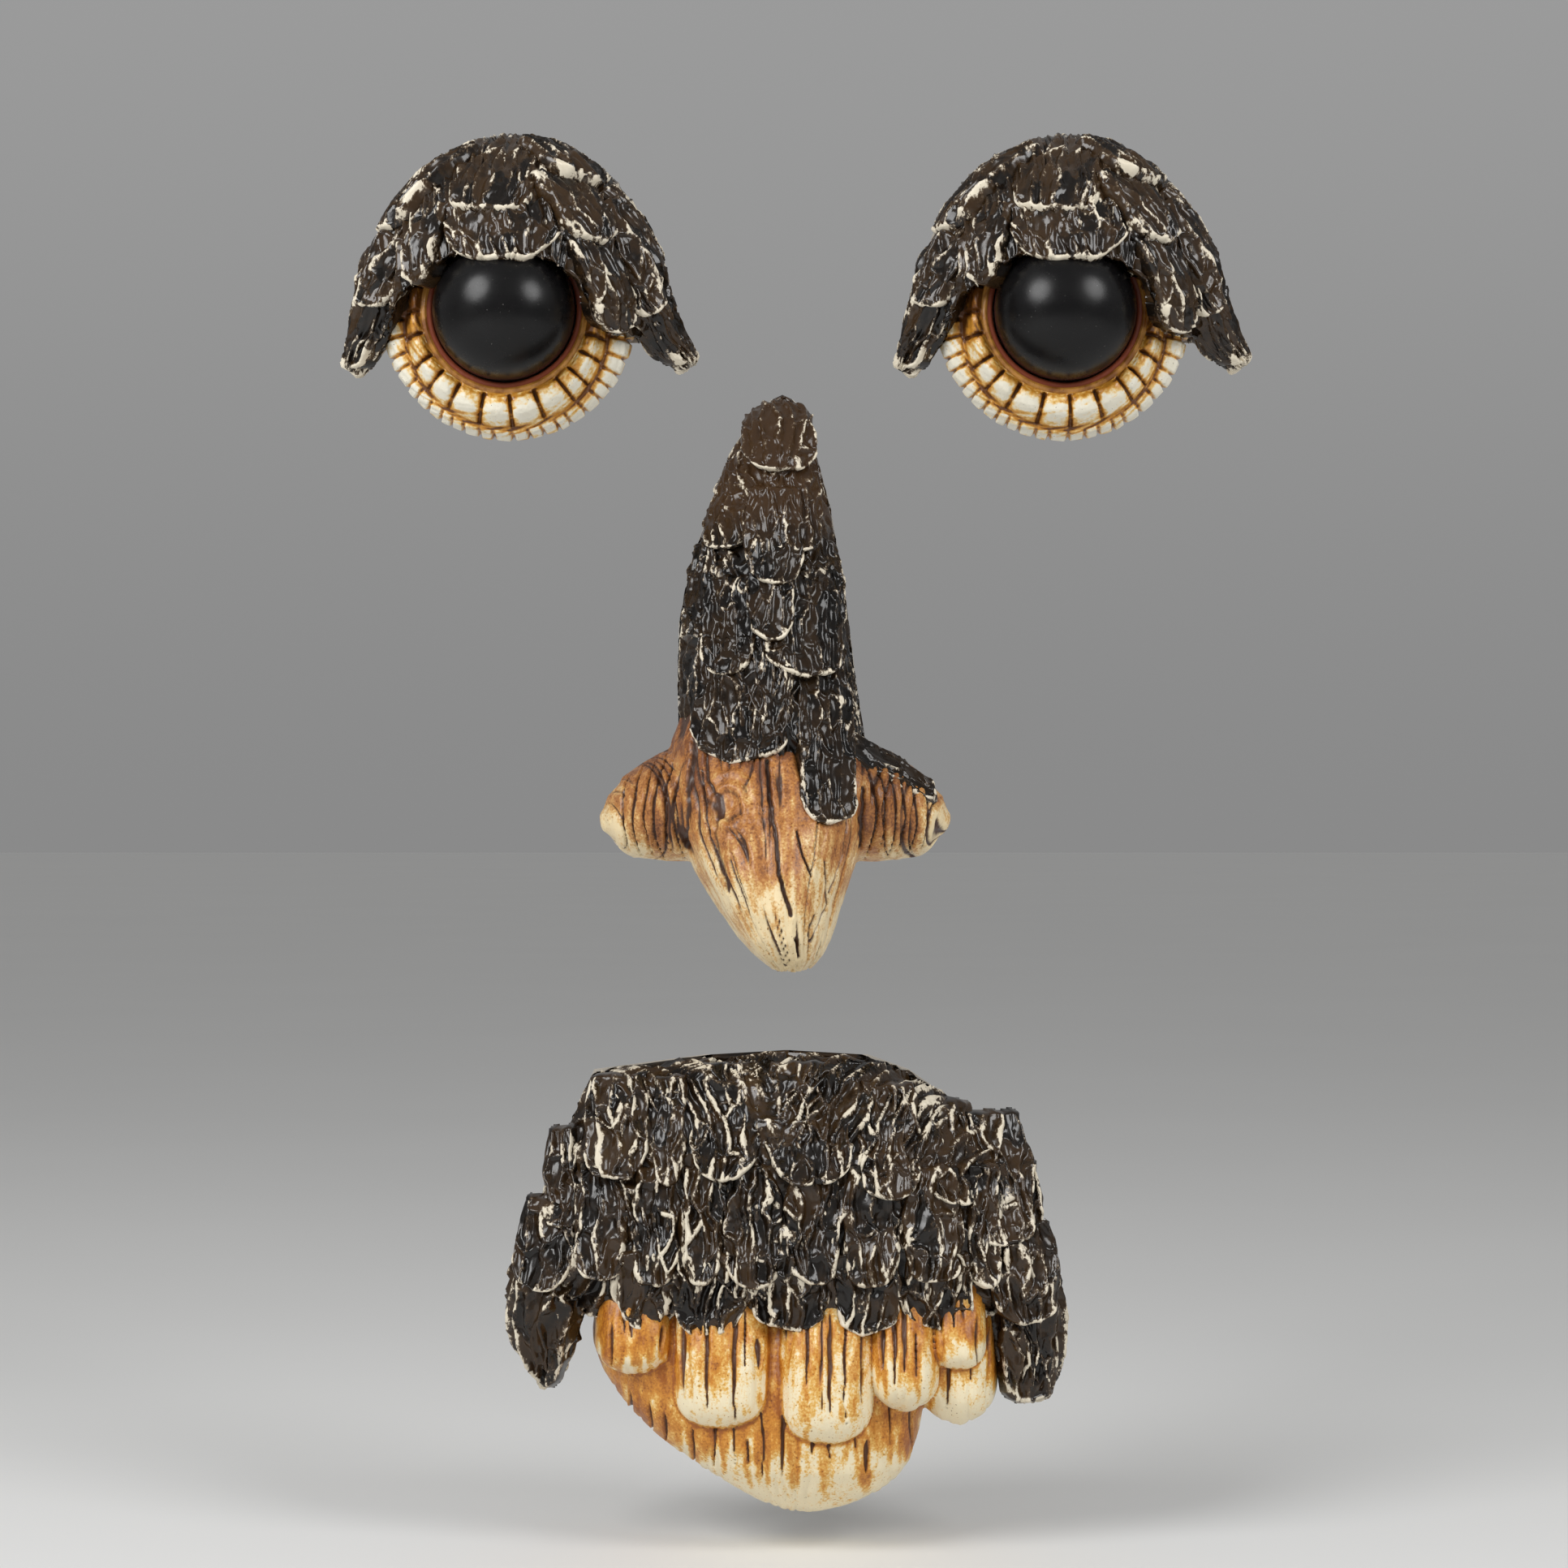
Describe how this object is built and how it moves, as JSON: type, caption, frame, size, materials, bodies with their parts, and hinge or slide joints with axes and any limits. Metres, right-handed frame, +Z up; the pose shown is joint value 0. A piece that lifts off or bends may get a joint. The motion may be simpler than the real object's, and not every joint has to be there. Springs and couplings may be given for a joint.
{
  "type": "tree face sculpture",
  "caption": "Garden sculpture of a face to hang on a tree: bark-hooded eyes with glossy black balls and ivory teeth round them, a bark and wood nose, and a bark mouth over a pale lower lip.",
  "frame": {"origin": "on the nose's flat back, near the middle of the face", "axes": "the castings face -Y, their flat backs lie in the plane y = 0 against the tree, +Z up, +X to the right as seen from the front"},
  "size_m": [0.2993, 0.0666, 0.4546],
  "materials": {
    "painted_resin": "cast resin painted as dark bark with ivory and tan wood parts",
    "black_gloss": "glossy black"
  },
  "bodies": {
    "root": {"left_eye": "painted_resin", "left_eyeball": "black_gloss", "right_eye": "painted_resin", "right_eyeball": "black_gloss", "nose": "painted_resin", "mouth": "painted_resin"}
  },
  "joints": []
}
